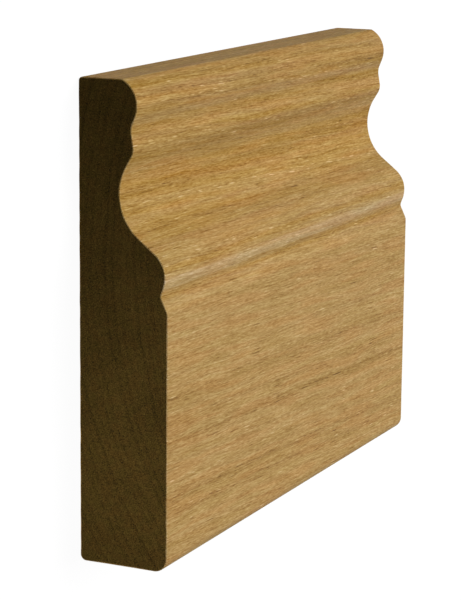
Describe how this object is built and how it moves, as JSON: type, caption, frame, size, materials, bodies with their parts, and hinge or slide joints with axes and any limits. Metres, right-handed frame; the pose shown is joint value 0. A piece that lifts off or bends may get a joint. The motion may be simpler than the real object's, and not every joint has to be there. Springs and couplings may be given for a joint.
{
  "type": "architrave",
  "caption": "Short cut length of solid oak architrave moulding: flat face, small quirk, large torus, wide cove, bead and rounded nose, with a flat back and sawn ends.",
  "frame": {"origin": "middle of the flat back, half way along the length and half way across the width", "axes": "+X along the grain and the length; +Y across the width from the square thick edge to the moulded thin edge; +Z through the thickness from the flat back to the moulded face"},
  "size_m": [0.13, 0.1, 0.02],
  "materials": {
    "oak": "planed and moulded solid oak with a thin satin clear lacquer, sawn end grain dark brown"
  },
  "bodies": {
    "root": {"architrave": "oak"}
  },
  "joints": []
}
